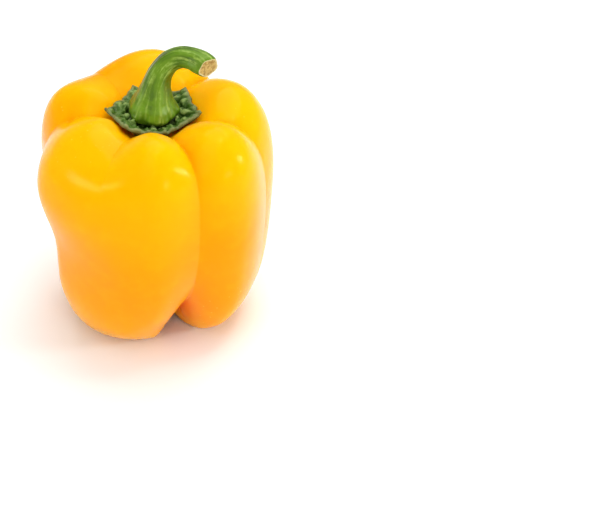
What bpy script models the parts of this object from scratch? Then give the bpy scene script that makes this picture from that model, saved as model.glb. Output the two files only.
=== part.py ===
"""A whole bell pepper as picked: the blocky fruit, the calyx in its top hollow and the cut stem.

Metres, +Z up. The fruit stands on the feet of its lobes at z = 0. Each piece starts as a UV
sphere, whose rows and columns are then laid along the piece's own surface by a formula.
Azimuths are in degrees, anticlockwise from +X as seen from above.
"""

import math
from collections import namedtuple

import bmesh
import bpy
import numpy as np

MM = 0.001
GAP = 0.4 * MM  # left between pieces that touch

# The fruit's turned profile, from the floor of the top hollow, over the shoulder and down
# the side to the blossom end: radius and height.
PROFILE = np.array([
    (0.0, 80.0),
    (6.5, 80.1),
    (12.0, 81.6),
    (17.0, 85.8),
    (23.0, 88.8),
    (30.0, 89.2),
    (36.4, 85.2),
    (40.8, 77.0),
    (42.2, 65.0),
    (41.6, 50.0),
    (39.6, 35.0),
    (36.0, 21.0),
    (30.2, 9.2),
    (23.0, 2.2),
    (15.5, 0.6),
    (8.0, 4.0),
    (0.0, 7.0),
]) * MM

# Stations along that profile, from 0 at the hollow's centre to 1 at the blossom end: floor,
# brow, crown, shoulder, breast, waist, flank, heel, foot and dimple. Every swell and groove
# below is given in millimetres at these stations.
STATIONS = np.array([0.00, 0.19, 0.31, 0.42, 0.50, 0.60, 0.70, 0.79, 0.86, 1.00])

# A lobe swells out from the profile. A groove is pressed in between two lobes, and its
# edge is from 0, a soft dip, to 1, a crease. Its azimuth is the one at the top, and it leans
# by so many degrees on its way down to the foot.
Lobe = namedtuple("Lobe", "name swell")
Groove = namedtuple("Groove", "azimuth lean depth edge")

LOBES = [
    Lobe("front_right", (0, 1.2, 2.2, 1.9, 1.3, 2.1, 3.4, 1.6, 0.4, 0)),
    Lobe("right_back", (0, 0.2, 1.2, 1.4, 2.2, 3.3, 5.2, 6.2, 1.0, 0)),
    Lobe("back", (0, 0.2, 2.5, 1.0, 0.4, 0.5, 1.0, 1.5, 2.0, 0)),
    Lobe("left_back", (0, 0.2, -1.8, -0.4, 0.6, 0.8, 1.8, 2.2, 1.5, 0)),
    Lobe("front_left", (0, 1.7, -3.2, -3.0, 0.2, -3.4, -0.2, 1.8, 1.9, 0)),
    Lobe("front", (0, 2.2, 3.4, 1.0, 0.3, 0.0, -0.5, -0.9, 0.6, 0)),
]

# Each groove starts the lobe of the same place in the list above.
GROOVES = [
    Groove(296, 4, (0, 3.0, 7.0, 5.5, 4.5, 5.0, 10.0, 18.0, 23.0, 0), 0.8),
    Groove(346, 0, (0, 3.0, 6.0, 4.5, 2.8, 1.8, 1.2, 1.0, 2.0, 0), 0.7),
    Groove(50, -4, (0, 3.0, 7.0, 5.0, 4.0, 4.0, 5.0, 6.0, 7.0, 0), 0.8),
    Groove(128, 1, (0, 2.0, 3.2, 3.0, 2.5, 2.5, 2.0, 2.0, 3.0, 0), 0.4),
    Groove(175, 2, (0, 5.0, 6.8, 5.5, 5.5, 10.0, 7.0, 7.0, 8.0, 0), 0.5),
    Groove(245, -3, (0, 2.8, 3.8, 1.2, 0.2, 0.0, 0.0, 0.0, 0.0, 0), 0.5),
]
GROOVE_EDGE = (1, 1, 0.85, 0.6, 0.4, 0.3, 0.5, 0.9, 1, 1)  # what is left of an edge at the stations
LEAN_SHARES = (0.58, 0.86)  # the stretch of the profile along which a groove leans

FRUIT_COLUMNS = 12  # to a lobe
FRUIT_ROWS = 42
FRUIT_CROWDING = 0.08  # how far the columns crowd towards the grooves, as a share of a lobe
CREASE_ROUND = 0.09  # how far the foot of a crease is rounded, as a share of half a lobe
HOLLOW_SHARE = 0.33  # the top hollow's part of the profile
CHORD = 0.07  # swells and grooves stand square to chords that reach so far along the profile

# The calyx: a thin green collar that lies in the hollow, with six straight sides. Its corners
# point into the grooves: azimuth and distance from the axis in millimetres.
CALYX_CORNERS = [(303, 13.6), (349, 18.0), (46, 18.2), (113, 16.8), (175, 16.2), (237, 17.0)]
CALYX_SEAT = 6.4 * MM  # radius of the flat disc under the stem
CALYX_THICKNESS = 1.7 * MM
CALYX_RIM_THICKNESS = 1.0 * MM
CALYX_RIM_LIFT = 0.7 * MM
CALYX_TIP_LIFT = 0.8 * MM
CALYX_RIM_WAVE = 0.02  # how far the sides wave in and out, as a share of their distance
CALYX_FOLD_START = 10.9 * MM  # distance from the axis where the folds rise, past the stem's bulb
CALYX_FOLD_HEIGHT = 0.5  # as a share of the width of the band that they stand in
CALYX_FOLDS = 13  # once round the stem
CALYX_COLUMNS = 14  # to a side
CALYX_ROWS = 11  # on each face

# The stem, from its flat foot on the calyx to the cut end: x, y, z and radius.
STEM_PATH = np.array([
    (0.9, 0.2, 83.1, 5.2),
    (0.9, 0.2, 84.4, 7.7),
    (0.9, 0.2, 86.6, 9.1),
    (1.0, 0.2, 89.3, 8.2),
    (1.3, 0.4, 92.6, 6.4),
    (2.0, 1.0, 96.8, 4.9),
    (3.5, 1.8, 100.9, 4.2),
    (6.5, 2.4, 104.7, 3.9),
    (10.5, 2.2, 106.6, 3.8),
    (14.3, 0.9, 106.7, 4.0),
    (17.1, -1.1, 106.4, 4.25),
    (18.9, -2.6, 106.0, 4.1),
    (19.7, -3.2, 105.8, 3.6),
]) * MM
STEM_SLANT = 0.45  # how far the cut end is slanted towards -Y, as a slope
STEM_SLANT_FROM = 0.78  # where along the stem that starts
STEM_RIDGES = 5
STEM_RIDGE = 0.05  # a ridge's height, as a share of the radius
STEM_COLUMNS = 20  # a multiple of the ridges
STEM_ROWS = 30

FRUIT_LOOK = ("fruit_skin", (0.93, 0.50, 0.02, 1), 0.28)
CALYX_LOOK = ("calyx_green", (0.06, 0.17, 0.05, 1), 0.55)
STEM_LOOK = ("stem_green", (0.20, 0.38, 0.06, 1), 0.45)


def clear_scene():
    for obj in list(bpy.data.objects):
        bpy.data.objects.remove(obj)


def spline(points, share):
    """The Catmull-Rom curve through the points, at shares from 0 to 1 of its length in points."""
    first, last = 2 * points[0] - points[1], 2 * points[-1] - points[-2]
    padded = np.vstack([first, points, last])
    place = np.clip(share, 0, 1) * (len(points) - 1)
    span = np.minimum(place.astype(int), len(points) - 2)
    u = (place - span)[:, None]
    a, b, c, d = (padded[span + i] for i in range(4))
    bend = 2 * a - 5 * b + 4 * c - d
    return 0.5 * (2 * b + (c - a) * u + bend * u**2 + (3 * (b - c) + d - a) * u**3)


def ease(x):
    x = np.clip(x, 0, 1)
    return x * x * (3 - 2 * x)


def at_stations(values, share):
    """Values given at the stations, joined by a smooth cubic."""
    values = np.asarray(values, float)
    slope = np.gradient(values, STATIONS)
    span = np.clip(np.searchsorted(STATIONS, share, side="right") - 1, 0, len(STATIONS) - 2)
    width = STATIONS[span + 1] - STATIONS[span]
    u = (share - STATIONS[span]) / width
    leaving = values[span] * (1 + 2 * u) + slope[span] * width * u
    arriving = values[span + 1] * (3 - 2 * u) + slope[span + 1] * width * (u - 1)
    return leaving * (1 - u) ** 2 + arriving * u**2


def groove_azimuths(lobe, share):
    """Azimuths of the grooves on both sides of a lobe, at shares of the profile."""
    start, end = GROOVES[lobe], GROOVES[(lobe + 1) % len(GROOVES)]
    leant = ease((share - LEAN_SHARES[0]) / (LEAN_SHARES[1] - LEAN_SHARES[0]))
    width = (end.azimuth - start.azimuth) % 360
    return start.azimuth + start.lean * leant, start.azimuth + width + end.lean * leant


def lobe_at(azimuth):
    """The lobe at an azimuth of the hollow, and how far across it that is, from 0 to 1."""
    for lobe in range(len(LOBES)):
        start, end = groove_azimuths(lobe, 0)
        across = (azimuth - start) % 360 / (end - start)
        if across < 1:
            return lobe, across


def press(distance, edge):
    """How far a groove presses in, from 1 in the groove to 0 at a distance of 1, on a lobe's crest."""
    rounded = math.sqrt(distance**2 + CREASE_ROUND**2) - CREASE_ROUND
    rounded = min(rounded / (math.sqrt(1 + CREASE_ROUND**2) - CREASE_ROUND), 1)
    crease = 1 - math.sqrt(1 - (1 - rounded) ** 2)
    dip = 0.5 + 0.5 * math.cos(math.pi * distance)
    return edge * crease + (1 - edge) * dip


def skin_line(share, lobe, across):
    """Radii and heights of the skin at shares of the profile, at a place across a lobe."""
    base = spline(PROFILE, share)
    above = spline(PROFILE, np.maximum(share - CHORD, 0))
    along = spline(PROFILE, np.minimum(share + CHORD, 1)) - above
    along /= np.linalg.norm(along, axis=1)[:, None]
    outward = np.stack([-along[:, 1], along[:, 0]], axis=1)

    after = (lobe + 1) % len(LOBES)
    nearer = min(across, 1 - across)
    groove, neighbour = (GROOVES[lobe], lobe - 1) if across < 0.5 else (GROOVES[after], after)
    own = 0.5 + 0.5 * math.sin(math.pi * nearer)
    swell = own * at_stations(LOBES[lobe].swell, share)
    swell += (1 - own) * at_stations(LOBES[neighbour].swell, share)
    edge = groove.edge * at_stations(GROOVE_EDGE, share)
    depth = np.maximum(at_stations(groove.depth, share), 0) * press(2 * nearer, edge)
    return np.maximum(base + outward * ((swell - depth) * MM)[:, None], 0)


def fruit_grid(rows, columns):
    """The fruit's skin: a row for each share of the profile and a column for each azimuth."""
    share = np.linspace(0, 1, rows + 1)
    grid = []
    for lobe in range(len(LOBES)):
        for column in np.arange(columns) / columns:
            across = column - FRUIT_CROWDING * math.sin(2 * math.pi * column)
            start, end = groove_azimuths(lobe, share)
            azimuth = np.radians(start + across * (end - start))
            radius, height = skin_line(share, lobe, across).T
            grid.append(np.stack([radius * np.cos(azimuth), radius * np.sin(azimuth), height], axis=1))
    return np.array(grid).transpose(1, 0, 2)


def hollow_height(radius, lobe, across):
    """Height of the hollow's skin at a radius from the axis."""
    reach, height = skin_line(np.linspace(0, HOLLOW_SHARE, 80), lobe, across).T
    return np.interp(radius, reach, height)


def calyx_corner(index):
    azimuth, distance = CALYX_CORNERS[index % len(CALYX_CORNERS)]
    azimuth = math.radians(azimuth)
    return np.array([math.cos(azimuth), math.sin(azimuth)]) * distance * MM


def crinkle(azimuth, share):
    """Height of the calyx's folds, up to 1, at shares of the way from the stem's bulb to the rim."""
    warped = azimuth + 0.22 * math.sin(3 * azimuth + 1) + 0.1 * math.sin(5 * azimuth)
    across = 0.5 + 0.5 * np.cos(CALYX_FOLDS * warped + 2.5 * share)
    outward = 0.5 + 0.5 * np.cos(2 * math.pi * (1.6 * share - 0.5) + 2 * math.sin(4 * azimuth))
    window = np.sin(math.pi * np.clip(share, 0, 1) ** 0.7)
    return window * (0.3 + 0.35 * across + 0.35 * across * outward)


def calyx_grid(rows, columns):
    """The calyx's two faces: out along the top from the centre to the rim, and back underneath."""
    out = np.linspace(0, 1, rows + 1)
    grid = []
    for side in range(len(CALYX_CORNERS)):
        for along in np.arange(columns) / columns:
            rim = calyx_corner(side) * (1 - along) + calyx_corner(side + 1) * along
            rim *= 1 + CALYX_RIM_WAVE * math.sin(math.pi * along) * math.sin(6 * math.pi * along + side)
            reach = np.linalg.norm(rim)
            azimuth = math.atan2(rim[1], rim[0])
            tip = (1 - 2 * min(along, 1 - along)) ** 3
            radius = out * reach
            lobe, across = lobe_at(math.degrees(azimuth))
            skin = hollow_height(radius, lobe, across)
            bed = np.maximum(skin, 0.5 * (skin + hollow_height(radius, lobe, 0.5)))
            free = np.clip((radius - CALYX_SEAT) / (reach - CALYX_SEAT), 0, 1)
            under = bed + GAP + (CALYX_RIM_LIFT + CALYX_TIP_LIFT * tip) * free**2
            band = reach - CALYX_FOLD_START
            folded = np.clip((radius - CALYX_FOLD_START) / band, 0, 1)
            thick = CALYX_THICKNESS + (CALYX_RIM_THICKNESS - CALYX_THICKNESS) * free
            thick += CALYX_FOLD_HEIGHT * band * crinkle(azimuth, folded)
            slope = np.gradient(under, radius)
            slant = np.sqrt(1 + slope**2)
            radius = np.concatenate([radius - thick * slope / slant, radius[::-1]])
            height = np.concatenate([under + thick / slant, under[::-1]])
            grid.append(np.stack([radius * math.cos(azimuth), radius * math.sin(azimuth), height], axis=1))
    return np.array(grid).transpose(1, 0, 2)


def stem_grid(rows, columns):
    """The stem's rings, from the middle of its cut end down to the middle of its foot."""
    path = spline(STEM_PATH, np.linspace(0, 1, rows - 1))
    centre, radius = path[:, :3], path[:, 3]
    forward = np.gradient(centre, axis=0)
    forward[0] = (0, 0, 1)
    forward /= np.linalg.norm(forward, axis=1)[:, None]
    side = np.array((1.0, 0.0, 0.0))
    angles = np.arange(columns) * 2 * math.pi / columns
    ridged = 1 + STEM_RIDGE * np.cos(STEM_RIDGES * angles)
    slants = STEM_SLANT * ease((np.linspace(0, 1, rows - 1) - STEM_SLANT_FROM) / (1 - STEM_SLANT_FROM))
    grid = [np.repeat(centre[:1], columns, axis=0)]
    for place, ahead, size, slant in zip(centre, forward, radius, slants):
        side = side - ahead * side.dot(ahead)
        side /= np.linalg.norm(side)
        ring = np.outer(ridged * np.cos(angles), side)
        ring += np.outer(ridged * np.sin(angles), np.cross(ahead, side))
        ring += np.outer(slant * ring[:, 1], ahead)
        grid.append(place + size * ring)
    grid.append(np.repeat(centre[-1:], columns, axis=0))
    return np.array(grid[::-1])


def laid_sphere(name, grid):
    """An object from a UV sphere, whose vertices are laid on the grid, row by row and column by column.

    The quads above its equator are split along one diagonal and the rest along the other, so
    a thin piece, whose equator is its rim, has the same triangles on both faces.
    """
    rows, columns = len(grid) - 1, grid.shape[1]
    mesh = bpy.data.meshes.new(name)
    bm = bmesh.new()
    bmesh.ops.create_uvsphere(bm, u_segments=columns, v_segments=rows, radius=1)
    upper = {face for face in bm.faces if face.calc_center_median().z > 0.1 / rows}
    lower = set(bm.faces) - upper
    bmesh.ops.triangulate(bm, faces=list(upper), quad_method="FIXED")
    bmesh.ops.triangulate(bm, faces=list(lower), quad_method="ALTERNATE")
    for vertex in bm.verts:
        x, y, z = vertex.co
        row = round(math.acos(max(-1, min(1, z))) / math.pi * rows)
        column = round(math.atan2(y, x) / (2 * math.pi) * columns) % columns
        vertex.co = grid[row, column]
    bm.to_mesh(mesh)
    bm.free()
    return bpy.data.objects.new(name, mesh)


def dress(obj, look):
    name, colour, roughness = look
    material = bpy.data.materials.new(name)
    material.use_nodes = True
    shader = material.node_tree.nodes["Principled BSDF"]
    shader.inputs["Base Color"].default_value = colour
    shader.inputs["Roughness"].default_value = roughness
    shader.inputs["Metallic"].default_value = 0
    obj.data.materials.append(material)
    obj.data.shade_smooth()


def main():
    clear_scene()
    collection = bpy.data.collections.new("bell_pepper")
    bpy.context.scene.collection.children.link(collection)
    fruit = fruit_grid(FRUIT_ROWS, FRUIT_COLUMNS)
    middle = (fruit.min(axis=(0, 1)) + fruit.max(axis=(0, 1))) / 2
    middle[2] = 0
    pieces = (
        ("fruit", fruit, FRUIT_LOOK),
        ("calyx", calyx_grid(CALYX_ROWS, CALYX_COLUMNS), CALYX_LOOK),
        ("stem", stem_grid(STEM_ROWS, STEM_COLUMNS), STEM_LOOK),
    )
    for name, grid, look in pieces:
        obj = laid_sphere(name, grid - middle)
        dress(obj, look)
        collection.objects.link(obj)


main()
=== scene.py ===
# Whole yellow bell pepper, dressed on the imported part: skin, ruffled calyx and cut stem.
import math

import bpy
import numpy as np
from mathutils import Matrix, Quaternion, Vector, noise


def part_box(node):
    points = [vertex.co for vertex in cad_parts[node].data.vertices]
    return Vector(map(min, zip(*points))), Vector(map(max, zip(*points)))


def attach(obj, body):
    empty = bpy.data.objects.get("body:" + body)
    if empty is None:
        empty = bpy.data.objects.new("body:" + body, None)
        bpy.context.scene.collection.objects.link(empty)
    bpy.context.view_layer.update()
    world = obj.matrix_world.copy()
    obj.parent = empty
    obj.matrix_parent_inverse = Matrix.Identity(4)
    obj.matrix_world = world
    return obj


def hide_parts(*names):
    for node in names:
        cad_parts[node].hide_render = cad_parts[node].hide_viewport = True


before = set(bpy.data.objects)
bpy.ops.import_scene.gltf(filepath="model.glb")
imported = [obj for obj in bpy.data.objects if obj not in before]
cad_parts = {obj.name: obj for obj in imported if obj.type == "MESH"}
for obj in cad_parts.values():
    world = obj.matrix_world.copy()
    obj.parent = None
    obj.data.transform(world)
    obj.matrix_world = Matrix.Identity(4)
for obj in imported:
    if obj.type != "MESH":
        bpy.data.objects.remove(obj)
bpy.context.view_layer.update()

mm = 0.001
scene = bpy.context.scene
scene.view_settings.view_transform = "Standard"
scene.view_settings.look = "None"


# shader maths: a wrapped socket that understands + - *, and a finish that makes the nodes
class Socket:
    def __init__(self, finish, socket):
        self.finish = finish
        self.socket = socket

    def maths(self, operation, first, second):
        return self.finish.node("ShaderNodeMath", {"operation": operation}, {0: first, 1: second})

    def __add__(self, other):
        return self.maths("ADD", self, other)

    def __radd__(self, other):
        return self.maths("ADD", other, self)

    def __sub__(self, other):
        return self.maths("SUBTRACT", self, other)

    def __rsub__(self, other):
        return self.maths("SUBTRACT", other, self)

    def __mul__(self, other):
        return self.maths("MULTIPLY", self, other)

    def __rmul__(self, other):
        return self.maths("MULTIPLY", other, self)


class Finish:
    def __init__(self, name):
        self.material = bpy.data.materials.new(name)
        self.material.use_nodes = True
        self.tree = self.material.node_tree
        self.tree.nodes.clear()

    def node(self, kind, settings, sockets, out=0):
        made = self.tree.nodes.new(kind)
        for key, value in settings.items():
            setattr(made, key, value)
        for key, value in sockets.items():
            if isinstance(value, Socket):
                self.tree.links.new(value.socket, made.inputs[key])
            else:
                made.inputs[key].default_value = value
        return Socket(self, made.outputs[out]) if made.outputs else None

    def attribute(self, name, out="Fac"):
        return self.node("ShaderNodeAttribute", {"attribute_name": name}, {}, out)

    def place(self):
        return self.node("ShaderNodeTexCoord", {}, {}, "Object")

    def stretched(self, vector, scale):
        return self.node("ShaderNodeVectorMath", {"operation": "MULTIPLY"}, {0: vector, 1: scale})

    def noise(self, vector, scale, detail):
        sockets = {"Vector": vector, "Scale": scale, "Detail": detail}
        return self.node("ShaderNodeTexNoise", {}, sockets)

    def window(self, value, low, high):  # 0 below low, 1 above high, smooth in between
        sockets = {"Value": value, "From Min": low, "From Max": high}
        return self.node("ShaderNodeMapRange", {"interpolation_type": "SMOOTHSTEP"}, sockets)

    def mixed(self, mask, first, second):  # first colour where the mask is 0, second where it is 1
        first, second = (c if isinstance(c, Socket) else (*c, 1) for c in (first, second))
        return self.node("ShaderNodeMix", {"data_type": "RGBA"}, {0: mask, 6: first, 7: second}, 2)

    def bump(self, height, distance, strength):
        sockets = {"Height": height, "Distance": distance, "Strength": strength}
        return self.node("ShaderNodeBump", {}, sockets)

    def principled(self, sockets):
        shader = self.node("ShaderNodeBsdfPrincipled", {}, sockets)
        self.node("ShaderNodeOutputMaterial", {}, {"Surface": shader})
        return self.material


# curves and grids that the pieces are laid on
def throughPoints(points, share):  # smooth curve through the points, share from 0 to 1
    first = 2 * points[0] - points[1]
    last = 2 * points[-1] - points[-2]
    padded = np.vstack([first, points, last])
    place = np.clip(share, 0, 1) * (len(points) - 1)
    span = np.minimum(place.astype(int), len(points) - 2)
    u = (place - span)[:, None]
    a, b, c, d = (padded[span + i] for i in range(4))
    bend = 2 * a - 5 * b + 4 * c - d
    return 0.5 * (2 * b + (c - a) * u + bend * u**2 + (3 * (b - c) + d - a) * u**3)


def rise(value, start, end):  # 0 at the start, 1 at the end, eased in between; falls if end < start
    x = np.clip((value - start) / (end - start), 0, 1)
    return x * x * (3 - 2 * x)


def wave(angle):  # 1 at the start of each turn of the angle, 0 halfway round
    return 0.5 + 0.5 * np.cos(angle)


def gridNormals(grid):  # of a grid that closes round its axis: outward where the rows run down
    down = np.gradient(grid, axis=0)
    across = np.roll(grid, -1, axis=1) - np.roll(grid, 1, axis=1)
    normal = np.cross(down, across)
    length = np.linalg.norm(normal, axis=2, keepdims=True)
    return normal / np.maximum(length, 1e-12)  # the ends have no length


def soften(field, times):  # evens a field out along both ways of the grid
    for _ in range(times):
        rows = np.pad(field, ((1, 1), (0, 0)), mode="edge")
        field = (rows[:-2] + 2 * field + rows[2:]) / 4
        field = (np.roll(field, 1, axis=1) + 2 * field + np.roll(field, -1, axis=1)) / 4
    return field


def noiseField(grid, size, seed):  # soft noise, -1 to 1, with lumps about so many metres across
    offset = Vector((seed * 7.3, seed * 3.1, seed * 5.7))  # each seed its own part of the noise
    flat = grid.reshape(-1, 3) / size
    values = [noise.noise(Vector(point) + offset) for point in flat]
    return np.array(values).reshape(grid.shape[:2])


def laidPiece(name, grid, masks, material):  # first and last row are the two ends, one point each
    rows, columns = grid.shape[:2]
    inner = grid[1:-1].reshape(-1, 3)
    points = np.vstack([grid[0].mean(axis=0), inner, grid[-1].mean(axis=0)])
    index = 1 + np.arange((rows - 2) * columns).reshape(rows - 2, columns)
    after = np.roll(index, -1, axis=1)
    quads = np.stack([index[:-1], index[1:], after[1:], after[:-1]], axis=2).reshape(-1, 4)
    faces = [(0, a, b) for a, b in zip(index[0], after[0])]
    faces += quads.tolist()
    faces += [(len(points) - 1, b, a) for a, b in zip(index[-1], after[-1])]
    mesh = bpy.data.meshes.new(name)
    mesh.from_pydata(points.tolist(), [], [tuple(int(i) for i in face) for face in faces])
    for key, field in masks.items():
        values = np.concatenate([[field[0].mean()], field[1:-1].ravel(), [field[-1].mean()]])
        layer = mesh.attributes.new(key, "FLOAT", "POINT")
        layer.data.foreach_set("value", values.astype(np.float32))
    mesh.materials.append(material)
    mesh.shade_smooth()
    mesh.update()
    piece = bpy.data.objects.new(name, mesh)
    scene.collection.objects.link(piece)
    return piece


# the fruit: turned profile (radius, height in mm), swollen into lobes and pressed in at grooves
fruit = {
    "profile": [
        (0.0, 80.0), (6.5, 80.1), (12.0, 81.6), (17.0, 85.8), (23.0, 88.8), (30.0, 89.2),
        (36.4, 85.2), (40.8, 77.0), (42.2, 65.0), (41.6, 50.0), (39.6, 35.0), (36.0, 21.0),
        (30.2, 9.2), (23.0, 2.2), (15.5, 0.6), (8.0, 4.0), (0.0, 7.0),
    ],
    # places along the profile: floor, brow, crown, shoulder, breast, waist, flank, heel, foot, dimple
    "stations": [0.00, 0.19, 0.31, 0.42, 0.50, 0.60, 0.70, 0.79, 0.86, 1.00],
    "swells": [  # mm, a lobe a line, front right first and on anticlockwise from above
        (0, 1.2, 2.2, 1.9, 1.3, 2.1, 3.4, 1.6, 0.4, 0),
        (0, 0.2, 1.2, 1.4, 2.2, 3.3, 5.2, 6.2, 1.0, 0),
        (0, 0.2, 2.5, 1.0, 0.4, 0.5, 1.0, 1.5, 2.0, 0),
        (0, 0.2, -1.8, -0.4, 0.6, 0.8, 1.8, 2.2, 1.5, 0),
        (0, 1.7, -3.2, -3.0, 0.2, -3.4, -0.2, 1.8, 1.9, 0),
        (0, 2.2, 3.4, 1.0, 0.3, 0.0, -0.5, -0.9, 0.6, 0),
    ],
    "grooves": [  # azimuth at the top, lean to the foot, depths in mm, edge
        (296, 4, (0, 3.0, 7.0, 5.5, 4.5, 5.0, 10.0, 18.0, 23.0, 0), 0.8),
        (346, 0, (0, 3.0, 6.0, 4.5, 2.8, 1.8, 1.2, 1.0, 2.0, 0), 0.7),
        (50, -4, (0, 3.0, 7.0, 5.0, 4.0, 4.0, 5.0, 6.0, 7.0, 0), 0.8),
        (128, 1, (0, 2.0, 3.2, 3.0, 2.5, 2.5, 2.0, 2.0, 3.0, 0), 0.4),
        (175, 2, (0, 5.0, 6.8, 5.5, 5.5, 10.0, 7.0, 7.0, 8.0, 0), 0.5),
        (245, -3, (0, 2.8, 3.8, 0.6, 0.0, 0.0, 0.0, 0.0, 0.0, 0), 0.5),
    ],
    "grooveEdge": (1, 1, 0.85, 0.6, 0.4, 0.3, 0.5, 0.9, 1, 1),  # sharper where it is higher
    "lean": (0.58, 0.86),  # stretch of the profile over which the grooves lean
    "crowding": 0.08,  # columns crowd towards the grooves
    "creaseRound": 0.09,  # share of half a lobe over which a groove's bottom is rounded
    "hollowShare": 0.33,  # the profile's part that lies in the top hollow
    "chord": 0.07,  # swells and grooves stand square to chords this long
    "coarse": (42, 12),  # rows, and columns to a lobe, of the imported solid
    "fine": (210, 48),
    "undulation": 0.22 * mm,  # soft unevenness of the walls
    "undulationSize": 17 * mm,
    "wallStart": (0.25, 0.35),  # on the profile
    "wallEnd": (0.9, 0.8),
    "pushes": [  # x, y, z, reach and push in mm: the front foot is rounder than its grooves make it
        (-10.0, -29.5, 10.0, 8.0, 0.9),
        (-0.5, -30.5, 11.5, 7.5, -0.7),
        (6.0, -31.5, 20.0, 10.0, -0.9),
    ],
    "evened": [(0.5, -28.5, 8.0, 9.0, 70)],  # x, y, z and reach in mm, times
    # tints: the foot's is painted shade, the crown's and hollow's painted light, the scar a corky spot;
    # each begins at the first value and is full at the second
    "footTint": (82 * mm, 40 * mm),
    "footDeepens": (0, 52 * mm),
    "footLeast": 0.25,
    "scarFrom": 0.9,  # corky spot at the blossom end
    "scarTint": (3.22 * mm, 2.42 * mm),
    "hollowTint": (0.30, 0.18),
    "crownTint": (68 * mm, 84 * mm),
    "crownFrom": (0.2, 0.3),
    "crownDepth": 8,  # mm of groove that end the crown's tint
    "grooveDepth": 10,  # mm of groove for the full tint
    "paintedShadePlaces": [  # spots of painted shade, deeper orange: azimuth, height in mm, reach in degrees and mm, strength
        (318, 38, 26, 26, 1.0),
        (262, 30, 30, 20, 0.5),
        (145, 78, 34, 14, 0.7),
        (118, 90, 22, 8, 0.9),
        (225, 40, 30, 24, 0.8),
    ],
    # yellow is the skin's colour, kept as painted light on the crown and in the top hollow; amber and
    # orange are painted shade in the grooves, at the foot and in the shade spots
    "yellow": (0.90, 0.415, 0.0004),
    "amber": (0.90, 0.30, 0.0003),
    "orange": (0.89, 0.18, 0.0004),
    "mottle": (0.97, 0.52, 0.004),
    "speck": (1.0, 0.72, 0.10),
    "cork": (0.30, 0.17, 0.06),
    "gloss": 0.11,
    "glossTint": (1.0, 0.80, 0.16, 1),
    "depthOfColour": 12 * mm,  # how far light spreads in the flesh
    "relief": 0.07 * mm,
}
profile = np.array(fruit["profile"])
stations = np.array(fruit["stations"])
lobeCount = len(fruit["swells"])


def alongProfile(values, share):  # values at the stations, joined smoothly
    values = np.asarray(values, float)
    slope = np.gradient(values, stations)
    span = np.clip(np.searchsorted(stations, share, side="right") - 1, 0, len(stations) - 2)
    width = stations[span + 1] - stations[span]
    u = (share - stations[span]) / width
    leaving = values[span] * (1 + 2 * u) + slope[span] * width * u
    arriving = values[span + 1] * (3 - 2 * u) + slope[span + 1] * width * (u - 1)
    return leaving * (1 - u) ** 2 + arriving * u**2


def grooveAzimuths(lobe, share):
    start = fruit["grooves"][lobe]
    end = fruit["grooves"][(lobe + 1) % lobeCount]
    leant = rise(share, *fruit["lean"])
    width = (end[0] - start[0]) % 360
    return start[0] + start[1] * leant, start[0] + width + end[1] * leant


def lobeAt(azimuth):
    for lobe in range(lobeCount):
        start, end = grooveAzimuths(lobe, 0)
        across = (azimuth - start) % 360 / (end - start)
        if across < 1:
            return lobe, across


def press(distance, edge):  # 1 in the groove, 0 on the crest of the lobe
    soft = fruit["creaseRound"]
    rounded = math.sqrt(distance**2 + soft**2) - soft
    rounded = min(rounded / (math.sqrt(1 + soft**2) - soft), 1)
    crease = 1 - math.sqrt(1 - (1 - rounded) ** 2)
    dip = 0.5 + 0.5 * math.cos(math.pi * distance)
    return edge * crease + (1 - edge) * dip


def skinLine(share, lobe, across):  # radius and height down the skin, and how far it is pressed in
    base = throughPoints(profile, share)
    above = throughPoints(profile, np.maximum(share - fruit["chord"], 0))
    below = throughPoints(profile, np.minimum(share + fruit["chord"], 1))
    along = (below - above) / np.linalg.norm(below - above, axis=1)[:, None]
    outward = np.stack([-along[:, 1], along[:, 0]], axis=1)
    after = (lobe + 1) % lobeCount
    nearer = min(across, 1 - across)
    groove = fruit["grooves"][lobe if across < 0.5 else after]
    neighbour = lobe - 1 if across < 0.5 else after
    own = 0.5 + 0.5 * math.sin(math.pi * nearer)
    swell = own * alongProfile(fruit["swells"][lobe], share)
    swell += (1 - own) * alongProfile(fruit["swells"][neighbour], share)
    edge = groove[3] * alongProfile(fruit["grooveEdge"], share)
    depth = np.maximum(alongProfile(groove[2], share), 0) * press(2 * nearer, edge)
    line = np.maximum(base + outward * (swell - depth)[:, None], 0) * mm
    return line, depth


def fruitGrid(rows, columns):  # points in metres, and how far each is pressed in
    share = np.linspace(0, 1, rows + 1)
    grid, depths = [], []
    for lobe in range(lobeCount):
        for column in np.arange(columns) / columns:
            across = column - fruit["crowding"] * math.sin(2 * math.pi * column)
            start, end = grooveAzimuths(lobe, share)
            azimuth = np.radians(start + across * (end - start))
            line, depth = skinLine(share, lobe, across)
            radius, height = line.T
            grid.append(np.stack([radius * np.cos(azimuth), radius * np.sin(azimuth), height], axis=1))
            depths.append(depth)
    return np.array(grid).transpose(1, 0, 2), np.array(depths).T


hollowShares = np.linspace(0, fruit["hollowShare"], 80)


def hollowHeight(radius, lobe, across):  # of the hollow's floor, at so far from the axis
    line, _ = skinLine(hollowShares, lobe, across)
    return np.interp(radius, line[:, 0], line[:, 1])


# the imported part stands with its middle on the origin
coarse, _ = fruitGrid(*fruit["coarse"])
middle = (coarse.min(axis=(0, 1)) + coarse.max(axis=(0, 1))) / 2
middle[2] = 0


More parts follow.
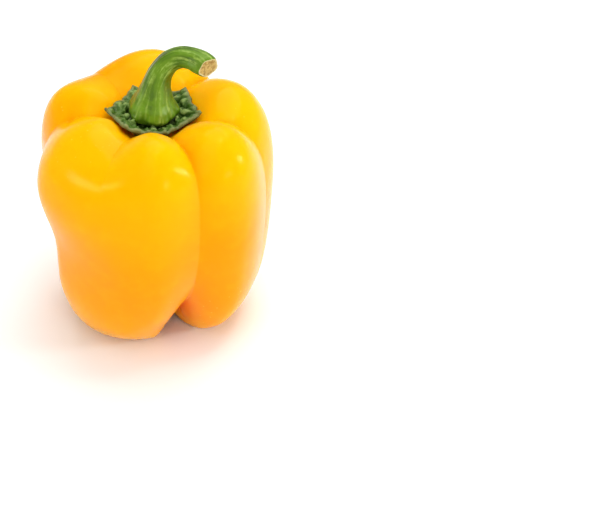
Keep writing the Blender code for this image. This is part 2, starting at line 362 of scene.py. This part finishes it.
def fruitFinish():
    skin = Finish("fruit_skin")
    place = skin.place()
    groove = skin.attribute("groove")
    foot = skin.attribute("foot")
    scar = skin.attribute("scar")
    paintedShadeSpots = skin.attribute("paintedShadeSpots")
    crown = skin.attribute("crown")
    hollow = skin.attribute("hollow")
    patches = skin.noise(place, 22, 3)
    mottle = skin.noise(place, 160, 2)
    # painted shade and light: deeper orange in the grooves (deepest there), at the foot and in the shade
    # spots, yellower on the crown and in the top hollow, with random tone from the patches
    paintedShadeAndTone = groove * 0.6 + foot * 0.36 + paintedShadeSpots * 0.8 - hollow * 0.35 - crown * 0.3
    paintedShadeAndTone = skin.window(paintedShadeAndTone + (patches - 0.5) * 0.4, -0.2, 1.0)
    colour = skin.mixed(paintedShadeAndTone, fruit["yellow"], fruit["amber"])
    colour = skin.mixed(skin.window(groove - crown * 0.1, 0.40, 1.4), colour, fruit["orange"])
    colour = skin.mixed(skin.window(mottle, 0.45, 0.75) * 0.10, colour, fruit["mottle"])
    cells = skin.node("ShaderNodeTexVoronoi", {}, {"Vector": place, "Scale": 420.0})
    speck = skin.window(0.16 - cells, 0.0, 0.08) * skin.window(patches, 0.52, 0.62)
    colour = skin.mixed(speck * 0.35, colour, fruit["speck"])
    colour = skin.mixed(scar, colour, fruit["cork"])
    pores = skin.noise(place, 900, 2)
    peel = skin.noise(place, 240, 1)
    relief = skin.bump(peel * 0.7 + pores * 0.3 + speck * 0.3, fruit["relief"], 0.5)
    return skin.principled({
        "Base Color": colour,
        "Roughness": 0.14 + patches * 0.06 + scar * 0.4,
        "Specular IOR Level": fruit["gloss"],
        "Specular Tint": fruit["glossTint"],
        "Subsurface Weight": 0.4,
        "Subsurface Radius": (1.0, 0.40, 0.02),
        "Subsurface Scale": fruit["depthOfColour"],
        "Normal": relief,
    })


def nearPlace(grid, place, reach):  # 1 at the place, fading out over the reach, both in mm
    away = np.linalg.norm(grid - np.array(place) * mm, axis=2) / (reach * mm)
    return np.exp(-away**2)


def fruitMasks(grid, share, depth, reach):  # where each tint of the skin lies
    height = grid[..., 2]
    azimuth = np.degrees(np.arctan2(grid[..., 1], grid[..., 0]))
    paintedShadeSpots = np.zeros(share.shape)
    for centre, level, turn, spread, strength in fruit["paintedShadePlaces"]:
        off = ((azimuth - centre + 180) % 360 - 180) / turn
        paintedShadeSpots += strength * np.exp(-off**2 - ((height / mm - level) / spread) ** 2)
    least = fruit["footLeast"]
    deeper = least + (1 - least) * rise(height, *fruit["footDeepens"])
    ownCrown = rise(height, *fruit["crownTint"]) * rise(share, *fruit["crownFrom"])
    # groove, foot and the shade spots carry painted shade, crown and hollow painted light; scar is the
    # corky spot
    return {
        "groove": depth / fruit["grooveDepth"],
        "foot": rise(height, *fruit["footTint"]) * deeper,
        "scar": (share > fruit["scarFrom"]) * rise(reach, *fruit["scarTint"]),
        "paintedShadeSpots": paintedShadeSpots,
        "hollow": rise(share, *fruit["hollowTint"]),
        "crown": ownCrown * (1 - depth / fruit["crownDepth"]),
    }


def buildFruit():
    grid, depth = fruitGrid(*fruit["fine"])
    rows, columns = grid.shape[:2]
    share = np.linspace(0, 1, rows)[:, None] * np.ones(columns)
    reach = np.linalg.norm(grid[..., :2], axis=2)
    wall = rise(share, *fruit["wallStart"]) * rise(share, *fruit["wallEnd"])
    dent = fruit["undulation"] * wall * (0.5 + 0.5 * noiseField(grid, fruit["undulationSize"], 1))
    grid = grid - gridNormals(grid) * dent[..., None] - middle
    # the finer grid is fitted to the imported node's own box
    low, high = (np.array(corner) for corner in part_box("fruit"))
    ownLow, ownHigh = grid.min(axis=(0, 1)), grid.max(axis=(0, 1))
    grid = low + (grid - ownLow) * (high - low) / (ownHigh - ownLow)
    normal = gridNormals(grid)
    for x, y, z, spread, push in fruit["pushes"]:
        grid = grid + normal * (push * mm * nearPlace(grid, (x, y, z), spread))[..., None]
    for x, y, z, spread, times in fruit["evened"]:
        even = np.stack([soften(grid[..., axis], times) for axis in range(3)], axis=2)
        grid = grid + (even - grid) * nearPlace(grid, (x, y, z), spread)[..., None]
    masks = fruitMasks(grid, share, depth, reach)
    piece = laidPiece("fruit_skin_fine", grid, masks, fruitFinish())
    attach(piece, "root")
    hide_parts("fruit")
    print("fruit laid:", len(piece.data.polygons), "faces")


# the calyx: a thin ruffled collar in the hollow, six straight sides, corners in the grooves
calyx = {
    # azimuth, and distance from the axis in mm
    "corners": [(303, 13.6), (349, 18.0), (46, 18.2), (113, 16.8), (175, 16.2), (237, 17.0)],
    "gap": 0.4 * mm,  # over the fruit's skin
    "seat": 6.4 * mm,  # the collar lies on the skin this far out, and lifts off it towards its rim
    "thickness": 1.7 * mm,
    "rimThickness": 1.0 * mm,
    "rimLift": 0.7 * mm,
    "tipLift": 0.8 * mm,
    "rimWave": 0.02,
    "ragged": 0.03,  # unevenness of the rim, as a share of its distance
    "raggedSize": 1.6 * mm,
    "foldStart": 9.6 * mm,  # just outside the stem's bulb
    "foldHeight": 0.5,
    "folds": 13,
    "foldWarp": [(3, 1, 0.22), (5, 0, 0.1)],  # waves round, start, strength: the folds crowd unevenly
    "foldSlant": 2.5,
    "foldRows": 1.6,
    "foldStagger": (4, 2),  # waves round, strength
    "reliefFrom": (0.5, 0.62),  # share of the way out where the curls begin, so that they crowd the bulb
    "rimCalm": 0.65,
    "curl": 2.0 * mm,  # rounded curls with sharp creases between them
    "curlSize": 2.6 * mm,
    "curlSink": 0.45,
    "ruffle": 0.8 * mm,
    "ruffleSize": 1.1 * mm,
    "ruffleSink": 0.4,
    "columns": 64,  # to a side
    "rows": 64,
    # the darkest green is painted shade in the crevices, lit a painted highlight on the tops of the
    # curls
    "creaseShade": (0.008, 0.026, 0.002),
    "mid": (0.058, 0.125, 0.012),
    "lit": (0.22, 0.32, 0.085),
    "rim": (0.20, 0.23, 0.09),
    "under": (0.10, 0.13, 0.04),
    "gloss": 0.38,
    "glossTint": (0.90, 1.0, 0.60, 1),
    "relief": 0.5 * mm,
}


def calyxCorner(index):
    azimuth, distance = calyx["corners"][index % len(calyx["corners"])]
    azimuth = math.radians(azimuth)
    return np.array([math.cos(azimuth), math.sin(azimuth)]) * distance * mm


def crinkle(azimuth, share):  # folds that run outwards, broken up into short humps; 0 at both edges
    warped = azimuth
    for waves, start, strength in calyx["foldWarp"]:
        warped += strength * math.sin(waves * azimuth + start)
    waves, strength = calyx["foldStagger"]
    staggered = strength * math.sin(waves * azimuth)
    across = wave(calyx["folds"] * warped + calyx["foldSlant"] * share)
    outward = wave(2 * math.pi * (calyx["foldRows"] * share - 0.5) + staggered)
    window = np.sin(math.pi * np.clip(share, 0, 1) ** 0.7)
    return window * (0.3 + 0.35 * across + 0.35 * across * outward)


def calyxFinish():
    leaf = Finish("calyx_green")
    place = leaf.place()
    fold = leaf.attribute("fold")
    rim = leaf.attribute("rim")
    under = leaf.attribute("under")
    patches = leaf.noise(place, 260, 3)
    fine = leaf.noise(place, 1100, 3)
    # painted shade low in the curls and painted highlight on their tops
    raised = leaf.window(fold + (fine - 0.5) * 0.25, 0.0, 0.45)
    colour = leaf.mixed(raised, calyx["creaseShade"], calyx["mid"])
    paintedHighlight = leaf.window(fold + (patches - 0.5) * 0.4 + (fine - 0.5) * 0.6, 0.56, 1.05)
    colour = leaf.mixed(paintedHighlight, colour, calyx["lit"])
    colour = leaf.mixed(leaf.window(rim + (fine - 0.5) * 0.4, 0.75, 1.0) * 0.8, colour, calyx["rim"])
    colour = leaf.mixed(under * 0.7, colour, calyx["under"])
    return leaf.principled({
        "Base Color": colour,
        "Roughness": 0.30 + patches * 0.2,
        "Specular IOR Level": calyx["gloss"],
        "Specular Tint": calyx["glossTint"],
        "Normal": leaf.bump(fine * 0.6 + patches * 0.4, calyx["relief"], 0.9),
    })


def calyxRim(side, along):  # point of the ragged rim, so far along from one corner to the next
    rim = calyxCorner(side) * (1 - along) + calyxCorner(side + 1) * along
    wavy = math.sin(math.pi * along) * math.sin(6 * math.pi * along + side)
    uneven = noise.noise(Vector((*rim / calyx["raggedSize"], 0)))
    return rim * (1 + calyx["rimWave"] * wavy + calyx["ragged"] * (uneven - 0.3))


def calyxColumn(side, along, out):  # from the middle to the rim: upper side, under side, masks
    rim = calyxRim(side, along)
    reach = np.linalg.norm(rim)
    azimuth = math.atan2(rim[1], rim[0])
    tip = (1 - 2 * min(along, 1 - along)) ** 3
    radius = out * reach
    lobe, across = lobeAt(math.degrees(azimuth))
    skin = hollowHeight(radius, lobe, across)
    bed = np.maximum(skin, 0.5 * (skin + hollowHeight(radius, lobe, 0.5)))  # bridges the grooves
    free = np.clip((radius - calyx["seat"]) / (reach - calyx["seat"]), 0, 1)
    under = bed + calyx["gap"]
    under += (calyx["rimLift"] + calyx["tipLift"] * tip) * free**2
    band = reach - calyx["foldStart"]
    raised = crinkle(azimuth, np.clip((radius - calyx["foldStart"]) / band, 0, 1))
    thick = calyx["thickness"] + (calyx["rimThickness"] - calyx["thickness"]) * free
    thick = thick + calyx["foldHeight"] * band * raised
    slope = np.gradient(under, radius)
    slant = np.sqrt(1 + slope**2)
    lifted, height = radius - thick * slope / slant, under + thick / slant
    cos, sin = math.cos(azimuth), math.sin(azimuth)
    top = np.stack([lifted * cos, lifted * sin, height], axis=1)
    bottom = np.stack([radius * cos, radius * sin, under], axis=1)
    return top, bottom, free**3, raised


def buildCalyx():
    columns, rows = calyx["columns"], calyx["rows"]
    out = np.linspace(0, 1, rows + 1)
    points, rimMask, foldMask = [], [], []
    for side in range(len(calyx["corners"])):
        for along in np.arange(columns) / columns:
            top, bottom, rim, fold = calyxColumn(side, along, out)
            points.append(np.concatenate([top, bottom[::-1]]))
            rimMask.append(np.concatenate([rim, rim[::-1]]))
            foldMask.append(np.concatenate([fold, np.zeros(len(fold))]))
    grid = np.array(points).transpose(1, 0, 2)
    rimMask, foldMask = np.array(rimMask).T, np.array(foldMask).T
    upper = np.zeros(grid.shape[:2])
    upper[: rows + 1] = 1
    inBand = rise(np.concatenate([out, out[::-1]]), *calyx["reliefFrom"])[:, None]
    inBand = upper * inBand * (1 - calyx["rimCalm"] * rimMask)
    curls = 2 * np.abs(noiseField(grid, calyx["curlSize"], 2))
    ruffles = 2 * np.abs(noiseField(grid, calyx["ruffleSize"], 3))
    relief = calyx["curl"] * (curls - calyx["curlSink"])
    relief = inBand * (relief + calyx["ruffle"] * (ruffles - calyx["ruffleSink"]))
    grid = grid + gridNormals(grid) * soften(relief, 1)[..., None] - middle
    masks = {
        "fold": upper * np.clip(0.65 * curls + 0.35 * ruffles + 0.25 * foldMask, 0, 1.2),
        "rim": rimMask,
        "under": 1 - upper,
    }
    piece = laidPiece("calyx_fine", grid, masks, calyxFinish())
    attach(piece, "root")
    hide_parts("calyx")
    print("calyx laid:", len(piece.data.polygons), "faces")


# the stem: swept from its foot on the calyx over the arch to the cut end
stem = {
    "path": [  # x, y, z, radius in mm
        (0.9, 0.2, 83.1, 5.2), (0.9, 0.2, 84.4, 7.7), (0.9, 0.2, 86.6, 9.1), (1.0, 0.2, 89.3, 8.2),
        (1.3, 0.4, 92.6, 6.4), (2.0, 1.0, 96.8, 4.9), (3.5, 1.8, 100.9, 4.2), (6.5, 2.4, 104.7, 3.9),
        (10.5, 2.2, 106.6, 3.8), (14.3, 0.9, 106.68, 3.98), (17.1, -1.1, 106.4, 4.25),
        (18.9, -2.6, 106.0, 4.1), (19.7, -3.2, 105.8, 3.6),
    ],
    "slant": 0.45,  # the cut end is slanted towards the front
    "slantFrom": 0.78,
    "ridges": 5,
    "ridge": 0.05,
    "rib": 0.11 * mm,  # fine uneven ribs along the stalk
    "ribSize": 0.9 * mm,
    "grainRadius": 4 * mm,  # the grain is laid on a straight round stalk of this size
    "grainStretch": 0.10,
    "bulbEnd": (14 * mm, 6 * mm),  # way up the stalk where the bulb ends, and where it is full
    "lump": 0.45 * mm,  # soft lumps on the bulb
    "lumpSize": 2.8 * mm,
    "scallops": 11,  # dents round the bulb's lower edge
    "scallop": 0.55 * mm,
    "scallopHeight": 3.4 * mm,
    "rows": 190,
    "columns": 120,
    "capRings": 22,
    "fibre": 0.28 * mm,
    "fibreSizes": (0.55 * mm, 1.6 * mm),
    "shadeSide": (-0.75, 0.0, 0.66),  # the arch's outer side, where a thin dark edge runs
    "shadeNarrow": 9,
    "shadeFrom": (14 * mm, 20 * mm),
    "dark": (0.052, 0.120, 0.004),
    "mid": (0.105, 0.215, 0.006),
    # light and bulbLight: pale streaks, partly the stalk's own and partly painted highlight
    "light": (0.38, 0.52, 0.10),
    "bulb": (0.135, 0.275, 0.008),
    "bulbLight": (0.32, 0.46, 0.09),
    "shade": (0.075, 0.055, 0.015),
    "woodDark": (0.27, 0.155, 0.04),
    "woodPale": (0.52, 0.37, 0.12),
    "lip": (0.58, 0.50, 0.25),
    "gloss": 0.38,
    "glossTint": (0.92, 1.0, 0.55, 1),
    "relief": 0.30 * mm,
}


def stemFinish():
    stalk = Finish("stem_green")
    grain = stalk.attribute("grainPlace", "Vector")
    place = stalk.place()
    cut = stalk.attribute("cut")
    lip = stalk.attribute("lip")
    bulb = stalk.attribute("bulb")
    rib = stalk.attribute("rib")
    edge = stalk.attribute("edge")
    streaks = stalk.noise(stalk.stretched(grain, (1, 1, 0.10)), 1500, 3)
    broad = stalk.noise(stalk.stretched(grain, (1, 1, 0.30)), 320, 4)
    creases = stalk.noise(stalk.stretched(grain, (0.12, 0.12, 1)), 1300, 2)
    blotch = stalk.noise(place, 260, 4)
    flecks = stalk.noise(place, 900, 3)
    colour = stalk.mixed(stalk.window(broad, 0.35, 0.65), stem["dark"], stem["mid"])
    # pale streaks along the grain: partly the stalk's own streaks, partly painted highlight on its
    # ridges and on the bulb
    pale = stalk.window(rib * 0.35 + streaks * 1.1 + flecks * 0.5 - 0.5, 0.46, 0.82)
    colour = stalk.mixed(pale * 0.6, colour, stem["light"])
    colour = stalk.mixed(bulb * stalk.window(blotch, 0.40, 0.62) * 0.8, colour, stem["bulb"])
    colour = stalk.mixed(bulb * stalk.window(streaks, 0.52, 0.72) * 0.4, colour, stem["bulbLight"])
    shade = stalk.window(edge + (streaks - 0.5) * 0.6, 0.3, 0.9)
    colour = stalk.mixed(shade * 0.55, colour, stem["shade"])
    # the cut end: gritty wood inside a pale lip
    fibres = stalk.noise(place, 1100, 3)
    clumps = stalk.noise(place, 420, 2)
    grit = stalk.window(fibres * 0.6 + clumps * 0.4, 0.38, 0.62)
    wood = stalk.mixed(grit, stem["woodDark"], stem["woodPale"])
    colour = stalk.mixed(cut, colour, wood)
    colour = stalk.mixed(stalk.window(lip + (fibres - 0.5) * 0.5, 0.5, 0.9), colour, stem["lip"])
    relief = streaks * 0.5 + creases * 0.35 + flecks * 0.35 + blotch * bulb * 0.6
    return stalk.principled({
        "Base Color": colour,
        "Roughness": 0.26 + broad * 0.15 + cut * 0.45,
        "Specular IOR Level": stem["gloss"],
        "Specular Tint": stem["glossTint"],
        "Normal": stalk.bump(relief, stem["relief"], 0.85),
    })


def stemRings():  # rings up the stalk and across its cut end, with their grain and way travelled
    rows, columns = stem["rows"], stem["columns"]
    path = throughPoints(np.array(stem["path"]) * mm, np.linspace(0, 1, rows))
    centre, radius = path[:, :3], path[:, 3]
    forward = np.gradient(centre, axis=0)
    forward[0] = (0, 0, 1)
    forward /= np.linalg.norm(forward, axis=1)[:, None]
    steps = np.linalg.norm(np.diff(centre, axis=0), axis=1)
    travelled = np.concatenate([[0], np.cumsum(steps)])
    slants = stem["slant"] * rise(np.linspace(0, 1, rows), stem["slantFrom"], 1)
    angles = np.arange(columns) * 2 * math.pi / columns
    cos, sin = np.cos(angles), np.sin(angles)
    ridged = 1 + stem["ridge"] * np.cos(stem["ridges"] * angles)
    shadeSide = np.array(stem["shadeSide"])
    side = np.array((1.0, 0.0, 0.0))
    rings, grains, shades = [], [], []
    for place, ahead, size, way, slant in zip(centre, forward, radius, travelled, slants):
        side = side - ahead * side.dot(ahead)
        side /= np.linalg.norm(side)
        across = np.cross(ahead, side)
        ring = np.outer(size * ridged * cos, side) + np.outer(size * ridged * sin, across)
        rings.append(place + ring + np.outer(slant * ring[:, 1], ahead))
        straight = stem["grainRadius"] * np.stack([cos, sin], axis=1)
        grains.append(np.column_stack([straight, np.full(columns, way)]))
        shades.append(cos * side.dot(shadeSide) + sin * across.dot(shadeSide))
    edge, edgeGrain = rings[-1], grains[-1]
    for inward in np.linspace(0, 1, stem["capRings"] + 1)[1:]:
        rings.append(edge * (1 - inward) + centre[-1] * inward)
        grains.append(edgeGrain * np.array([1 - inward, 1 - inward, 1]))
        shades.append(np.zeros(columns))
        travelled = np.append(travelled, travelled[-1])
    travelled = travelled[:, None] * np.ones(columns)
    return np.array(rings), np.array(grains), np.array(shades), travelled, centre[0], forward[-1]


def buildStem():
    rings, grain, shades, travelled, foot, ahead = stemRings()
    cut, lip = np.zeros(travelled.shape), np.zeros(travelled.shape)
    cut[stem["rows"] + 1:] = 1
    lip[stem["rows"] - 2: stem["rows"] + 3] = 1
    bulb = rise(travelled, *stem["bulbEnd"]) * (1 - cut)
    ribs = 0.5 + 0.9 * noiseField(grain * np.array((1, 1, stem["grainStretch"])), stem["ribSize"], 8)
    lumps = noiseField(rings, stem["lumpSize"], 4)
    low = rise(np.abs(travelled - stem["scallopHeight"]), stem["scallopHeight"], 0) * (1 - cut)
    turn = np.arctan2(grain[..., 1], grain[..., 0])
    scallops = 1 - wave(stem["scallops"] * turn + 1.7 * np.sin(2 * turn + 1))
    # the rows run up the stalk, so its normals point inwards and the dents go in
    dent = stem["rib"] * ribs * (1 - 0.6 * bulb) * (1 - cut)
    dent += stem["lump"] * bulb * (0.5 + 0.5 * lumps) + stem["scallop"] * low * scallops**2
    grid = rings + gridNormals(rings) * dent[..., None]
    fine, coarser = (noiseField(grid, size, seed) for size, seed in zip(stem["fibreSizes"], (5, 6)))
    sunk = cut * stem["fibre"] * (0.7 + 0.6 * fine + 0.6 * coarser)
    grid = grid - ahead * sunk[..., None]
    shade = np.clip(shades, 0, 1) ** stem["shadeNarrow"] * rise(travelled, *stem["shadeFrom"])
    masks = {
        "cut": soften(cut, 1),
        "lip": soften(lip, 2),
        "bulb": bulb,
        "rib": ribs * (1 - 0.5 * bulb),
        "edge": shade * (1 - cut),
    }
    # the foot's middle comes first, and the whole is turned over so that its faces look outwards
    grid = np.concatenate([np.broadcast_to(foot, grid[:1].shape), grid])[::-1] - middle
    grain = np.concatenate([grain[:1], grain])[::-1]
    masks = {key: np.concatenate([field[:1], field])[::-1] for key, field in masks.items()}
    piece = laidPiece("stem_fine", grid, masks, stemFinish())
    points = np.vstack([grain[0].mean(axis=0), grain[1:-1].reshape(-1, 3), grain[-1].mean(axis=0)])
    layer = piece.data.attributes.new("grainPlace", "FLOAT_VECTOR", "POINT")
    layer.data.foreach_set("vector", points.astype(np.float32).ravel())
    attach(piece, "root")
    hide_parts("stem")
    print("stem laid:", len(piece.data.polygons), "faces")


# camera at the photograph's angle; the pepper stands left of the frame's middle
cameraPlace = {
    "elevation": 36,
    "distance": 0.8,
    "lens": 134.4,  # mm
    "sensor": 36,
    "centre": (0, 0, 0.046),
    "seenAt": (157, 205),  # pixel of that centre
    "frame": (600, 514),  # pixels
}


def buildCamera():
    data = bpy.data.cameras.new("camera")
    data.sensor_width = cameraPlace["sensor"]
    data.lens = cameraPlace["lens"]
    camera = bpy.data.objects.new("camera", data)
    scene.collection.objects.link(camera)
    tilt = math.radians(cameraPlace["elevation"])
    back = Vector((0, -math.cos(tilt), math.sin(tilt)))
    camera.location = Vector(cameraPlace["centre"]) + back * cameraPlace["distance"]
    wide, high = cameraPlace["frame"]
    focal = data.lens / data.sensor_width * wide
    yaw = math.atan((wide / 2 - cameraPlace["seenAt"][0]) / focal)
    pitch = math.atan((high / 2 - cameraPlace["seenAt"][1]) / focal)
    aim = (-back).to_track_quat("-Z", "Y").to_matrix()
    aim = aim @ Matrix.Rotation(-pitch, 3, "X") @ Matrix.Rotation(-yaw, 3, "Y")
    camera.rotation_mode = "QUATERNION"
    camera.rotation_quaternion = aim.to_quaternion()
    scene.camera = camera
    print("camera placed")


# white studio: pale surroundings, broad sheets of light, and small lamps for the glints
studio = {
    "surroundings": 0.33,
    "floorColour": (0.90, 0.90, 0.90, 1),
    "floorRoughness": 0.8,
    "floorSize": 6.0,
    "lamps": [  # name, azimuth from +X, elevation, roll, distance, width, height, brightness
        ("overhead", 70, 66, 0, 1.5, 1.60, 1.60, 2.65),
        ("frontSheet", -100, 40, 0, 1.6, 1.50, 1.50, 1.35),
        ("topSheet", -90, 76, 0, 1.4, 1.00, 1.00, 2.3),
        ("rightSheet", 0, 35, 0, 1.6, 1.00, 1.00, 0.2),
        ("rightBox", -8, 15, -28, 1.0, 0.42, 0.15, 25.0),
        ("leftBox", -161, 16, 0, 1.0, 0.70, 0.055, 27.0),
        ("lowCard", -50, 8, 0, 1.0, 0.24, 0.15, 15.0),
        ("topSpot", -6, 71, 0, 1.2, 0.14, 0.10, 26.0),
    ],
}


def buildStudio():
    world = bpy.data.worlds.new("studio")
    scene.world = world
    world.use_nodes = True
    background = world.node_tree.nodes["Background"]
    background.inputs["Color"].default_value = (1, 1, 1, 1)
    background.inputs["Strength"].default_value = studio["surroundings"]
    half = studio["floorSize"] / 2
    corners = [(-half, -half, 0), (half, -half, 0), (half, half, 0), (-half, half, 0)]
    mesh = bpy.data.meshes.new("floor")
    mesh.from_pydata(corners, [], [(0, 1, 2, 3)])
    floor = bpy.data.objects.new("floor", mesh)
    scene.collection.objects.link(floor)
    paper = Finish("white_paper")
    plain = {"Base Color": studio["floorColour"], "Roughness": studio["floorRoughness"]}
    mesh.materials.append(paper.principled(plain))
    centre = Vector(cameraPlace["centre"])
    for name, azimuth, elevation, roll, distance, width, height, brightness in studio["lamps"]:
        a, e = math.radians(azimuth), math.radians(elevation)
        towards = Vector((math.cos(a) * math.cos(e), math.sin(a) * math.cos(e), math.sin(e)))
        data = bpy.data.lights.new(name, "AREA")
        data.shape = "ELLIPSE"
        data.size = width
        data.size_y = height
        area = math.pi * width * height / 4
        data.energy = brightness * math.pi * area
        lamp = bpy.data.objects.new(name, data)
        lamp.location = centre + towards * distance
        lamp.rotation_mode = "QUATERNION"
        turn = towards.to_track_quat("Z", "Y")
        lamp.rotation_quaternion = turn @ Quaternion((0, 0, 1), math.radians(roll))
        scene.collection.objects.link(lamp)
    print("studio lit")


buildCamera()
buildStudio()
buildFruit()
buildCalyx()
buildStem()
